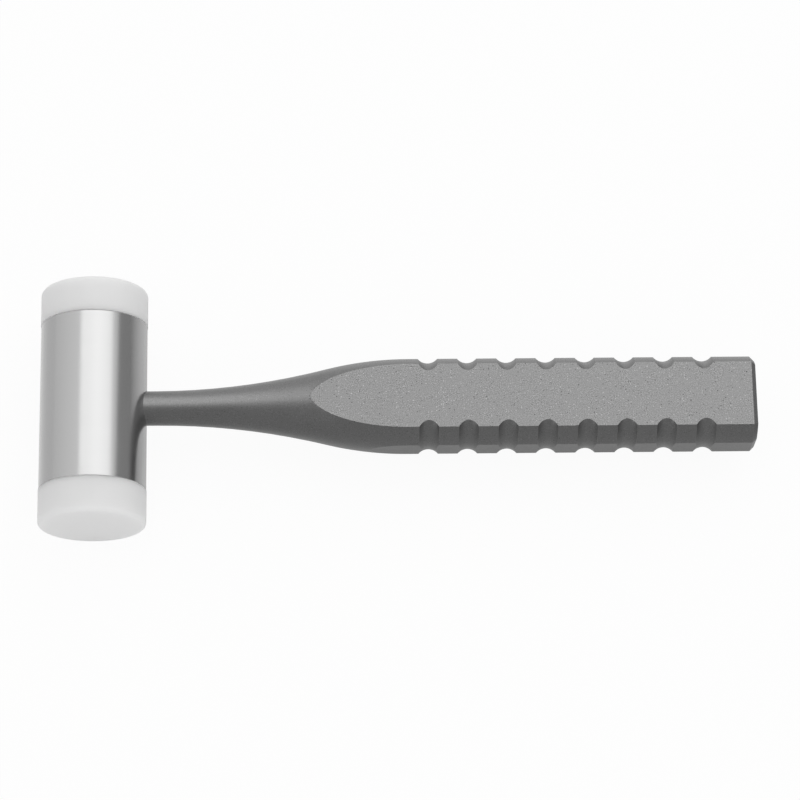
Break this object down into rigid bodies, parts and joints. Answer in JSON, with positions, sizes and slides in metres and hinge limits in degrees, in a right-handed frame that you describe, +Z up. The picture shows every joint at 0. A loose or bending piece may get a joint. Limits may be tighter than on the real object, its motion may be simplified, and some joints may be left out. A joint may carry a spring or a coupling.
{
  "type": "surgical hammer",
  "caption": "Surgical mallet with a cylindrical steel head, screwed plastic strike caps and a fluted, flat-sided metal handle.",
  "frame": {"origin": "under the middle of the whole hammer, on the surface that it lies on", "axes": "+X along the handle from the head towards the butt, +Y along the head's axis, +Z up while the hammer lies on its side"},
  "size_m": [0.1804, 0.062, 0.0271],
  "materials": {
    "turned_steel": "fine turned satin, lines round the head",
    "blasted_metal": "bead blasted and anodised, matt grey",
    "white_plastic": "turned natural white plastic, slightly translucent"
  },
  "bodies": {
    "hammer": {"head_body": "turned_steel", "handle": "blasted_metal"},
    "near_cap": {"near_strike_cap": "white_plastic"},
    "far_cap": {"far_strike_cap": "white_plastic"}
  },
  "joints": [
    {"name": "near_cap_off", "type": "slide", "parent": "hammer", "child": "near_cap", "axis": [0, -1, 0], "range_m": [0, 0.015]},
    {"name": "far_cap_off", "type": "slide", "parent": "hammer", "child": "far_cap", "axis": [0, 1, 0], "range_m": [0, 0.015]}
  ]
}
